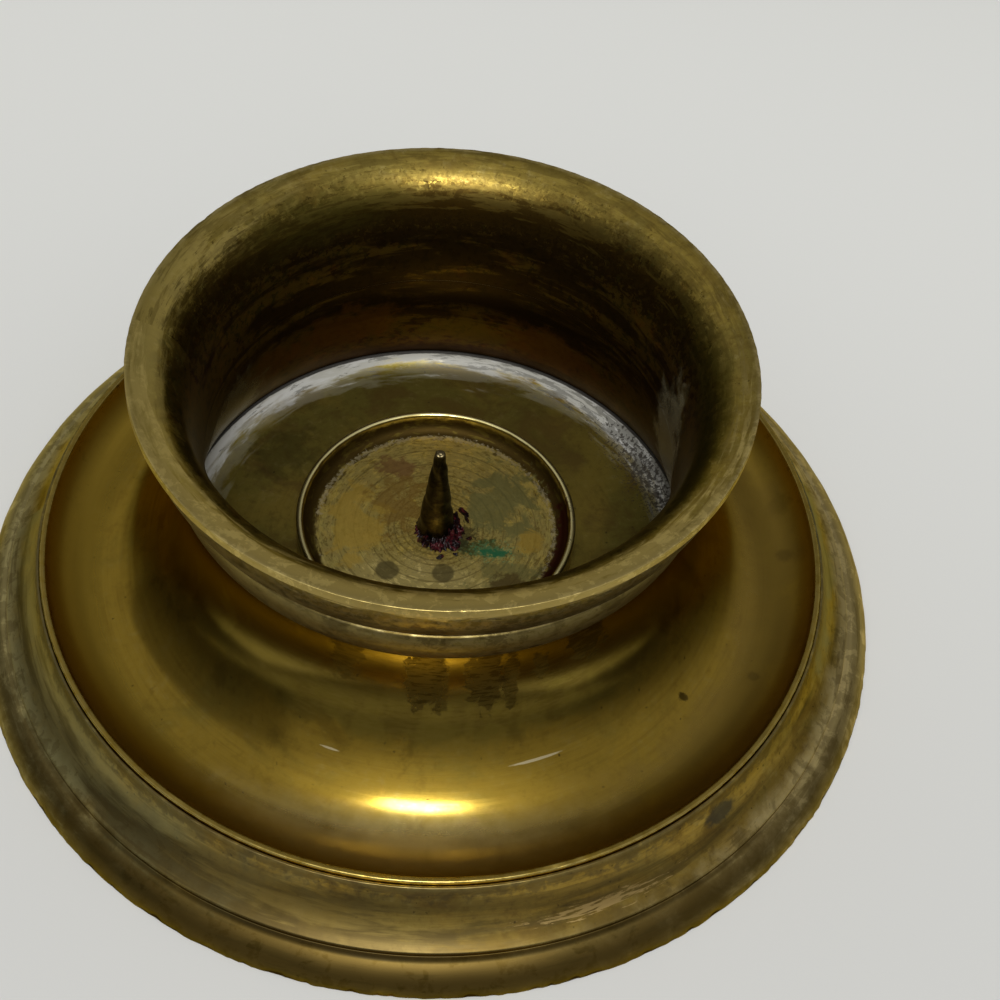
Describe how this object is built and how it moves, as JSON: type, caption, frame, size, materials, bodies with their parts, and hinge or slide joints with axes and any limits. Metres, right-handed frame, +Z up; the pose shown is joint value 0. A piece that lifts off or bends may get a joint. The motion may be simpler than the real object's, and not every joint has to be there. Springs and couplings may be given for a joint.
{
  "type": "pricket candle stand",
  "caption": "Low turned brass candle stand: moulded round foot, dished drip tray, trumpet neck and flared collar round a wax pan with a candle seat and spike.",
  "frame": {"origin": "centre of the foot's underside, on the table plane", "axes": "+Z up along the stand's axis of turning; X and Y lie in the table plane and are equal, because the stand is round"},
  "size_m": [0.2304, 0.2304, 0.0871],
  "materials": {
    "cast_brass": "turned cast brass, worn satin with olive and brown tarnish",
    "pan_brass": "turned brass, dull, with wax residue and a little verdigris",
    "spike_brass": "brass darkened almost to black brown",
    "fastener_steel": "plain dull steel"
  },
  "bodies": {
    "root": {"foot_ring": "cast_brass", "dish_neck": "cast_brass", "flared_collar": "cast_brass", "wax_pan": "pan_brass", "candle_cup": "pan_brass", "pricket": "spike_brass", "clamp_washer": "fastener_steel", "clamp_nut": "fastener_steel"}
  },
  "joints": []
}
